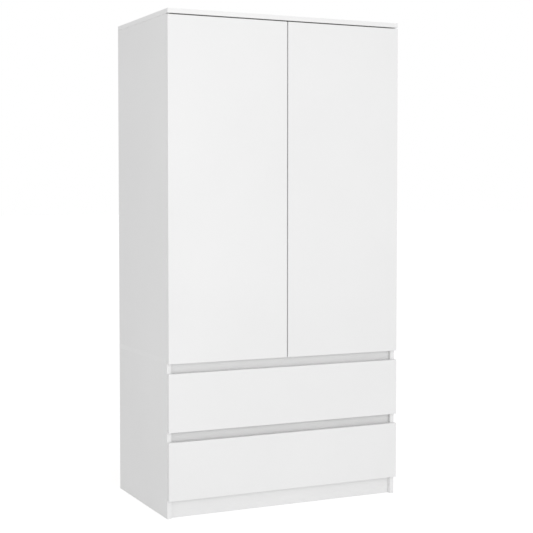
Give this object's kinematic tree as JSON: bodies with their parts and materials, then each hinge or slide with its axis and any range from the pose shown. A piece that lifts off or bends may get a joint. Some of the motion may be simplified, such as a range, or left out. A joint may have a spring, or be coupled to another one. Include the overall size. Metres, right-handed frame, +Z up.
{
  "type": "wardrobe with doors and drawers",
  "caption": "Tall free-standing wardrobe in plain white board: hinged doors over full-width drawers, with recessed finger grooves in place of handles.",
  "frame": {"origin": "on the floor, under the middle of the outer box", "axes": "+Z up, -Y out of the doors and drawer fronts, +X to the right of someone who faces them"},
  "size_m": [0.9, 0.525, 1.74],
  "materials": {
    "white_board": "white melamine-faced chipboard, satin, fine pearl texture, edge-banded",
    "hardboard": "white-lacquered hardboard, brown and rough on its outer face",
    "rail_chrome": "chrome-plated steel tube",
    "nickel_steel": "nickel-plated pressed steel",
    "slide_steel": "zinc-plated rolled steel",
    "ball_cages": "moulded ball retainer"
  },
  "bodies": {
    "carcass": {"top_panel": "white_board", "left_side_panel_lower": "white_board", "right_side_panel_lower": "white_board", "left_side_panel_upper": "white_board", "right_side_panel_upper": "white_board", "deck_panel": "white_board", "bottom_panel": "white_board", "hat_shelf": "white_board", "plinth_board": "white_board", "rear_plinth_rail": "white_board", "lower_groove_rail": "white_board", "upper_groove_rail": "white_board", "back_panel_lower": "hardboard", "back_panel_upper": "hardboard", "hanging_rail": "rail_chrome", "left_rail_socket": "nickel_steel", "right_rail_socket": "nickel_steel", "left_lower_hinge_arm": "nickel_steel", "left_middle_hinge_arm": "nickel_steel", "left_upper_hinge_arm": "nickel_steel", "right_lower_hinge_arm": "nickel_steel", "right_middle_hinge_arm": "nickel_steel", "right_upper_hinge_arm": "nickel_steel", "drawer_1_left_cabinet_runner": "slide_steel", "drawer_1_right_cabinet_runner": "slide_steel", "drawer_2_left_cabinet_runner": "slide_steel", "drawer_2_right_cabinet_runner": "slide_steel"},
    "left_door": {"left_door_panel": "white_board", "left_lower_hinge_cup": "nickel_steel", "left_middle_hinge_cup": "nickel_steel", "left_upper_hinge_cup": "nickel_steel"},
    "left_hinge_links": {"left_lower_hinge_link": "nickel_steel", "left_middle_hinge_link": "nickel_steel", "left_upper_hinge_link": "nickel_steel"},
    "right_door": {"right_door_panel": "white_board", "right_lower_hinge_cup": "nickel_steel", "right_middle_hinge_cup": "nickel_steel", "right_upper_hinge_cup": "nickel_steel"},
    "right_hinge_links": {"right_lower_hinge_link": "nickel_steel", "right_middle_hinge_link": "nickel_steel", "right_upper_hinge_link": "nickel_steel"},
    "drawer_1": {"drawer_1_front": "white_board", "drawer_1_back": "white_board", "drawer_1_bottom": "hardboard", "drawer_1_left_side": "white_board", "drawer_1_left_drawer_runner": "slide_steel", "drawer_1_right_side": "white_board", "drawer_1_right_drawer_runner": "slide_steel"},
    "drawer_1_ball_cages": {"drawer_1_left_ball_cage": "ball_cages", "drawer_1_right_ball_cage": "ball_cages"},
    "drawer_2": {"drawer_2_front": "white_board", "drawer_2_back": "white_board", "drawer_2_bottom": "hardboard", "drawer_2_left_side": "white_board", "drawer_2_left_drawer_runner": "slide_steel", "drawer_2_right_side": "white_board", "drawer_2_right_drawer_runner": "slide_steel"},
    "drawer_2_ball_cages": {"drawer_2_left_ball_cage": "ball_cages", "drawer_2_right_ball_cage": "ball_cages"}
  },
  "joints": [
    {"name": "left_door_hinge", "type": "hinge", "parent": "carcass", "child": "left_door", "pos_m": [-0.443, -0.2605, 1.128], "axis": [0, 0, -1], "range_deg": [0, 105]},
    {"name": "left_hinge_link_pivot", "type": "hinge", "parent": "carcass", "child": "left_hinge_links", "pos_m": [-0.426, -0.2405, 1.128], "axis": [0, 0, -1], "range_deg": [0, 111]},
    {"name": "right_door_hinge", "type": "hinge", "parent": "carcass", "child": "right_door", "pos_m": [0.443, -0.2605, 1.128], "axis": [0, 0, 1], "range_deg": [0, 105]},
    {"name": "right_hinge_link_pivot", "type": "hinge", "parent": "carcass", "child": "right_hinge_links", "pos_m": [0.426, -0.2405, 1.128], "axis": [0, 0, 1], "range_deg": [0, 111]},
    {"name": "drawer_1_slide", "type": "slide", "parent": "carcass", "child": "drawer_1", "axis": [0, -1, 0], "range_m": [0, 0.29]},
    {"name": "drawer_1_cage_slide", "type": "slide", "parent": "carcass", "child": "drawer_1_ball_cages", "axis": [0, -1, 0], "range_m": [0, 0.146]},
    {"name": "drawer_2_slide", "type": "slide", "parent": "carcass", "child": "drawer_2", "axis": [0, -1, 0], "range_m": [0, 0.29]},
    {"name": "drawer_2_cage_slide", "type": "slide", "parent": "carcass", "child": "drawer_2_ball_cages", "axis": [0, -1, 0], "range_m": [0, 0.146]}
  ],
  "couplings": [
    {"joint": "left_hinge_link_pivot", "follows": "left_door_hinge", "ratio": 1.054},
    {"joint": "right_hinge_link_pivot", "follows": "right_door_hinge", "ratio": 1.054},
    {"joint": "drawer_1_cage_slide", "follows": "drawer_1_slide", "ratio": 0.5},
    {"joint": "drawer_2_cage_slide", "follows": "drawer_2_slide", "ratio": 0.5}
  ]
}
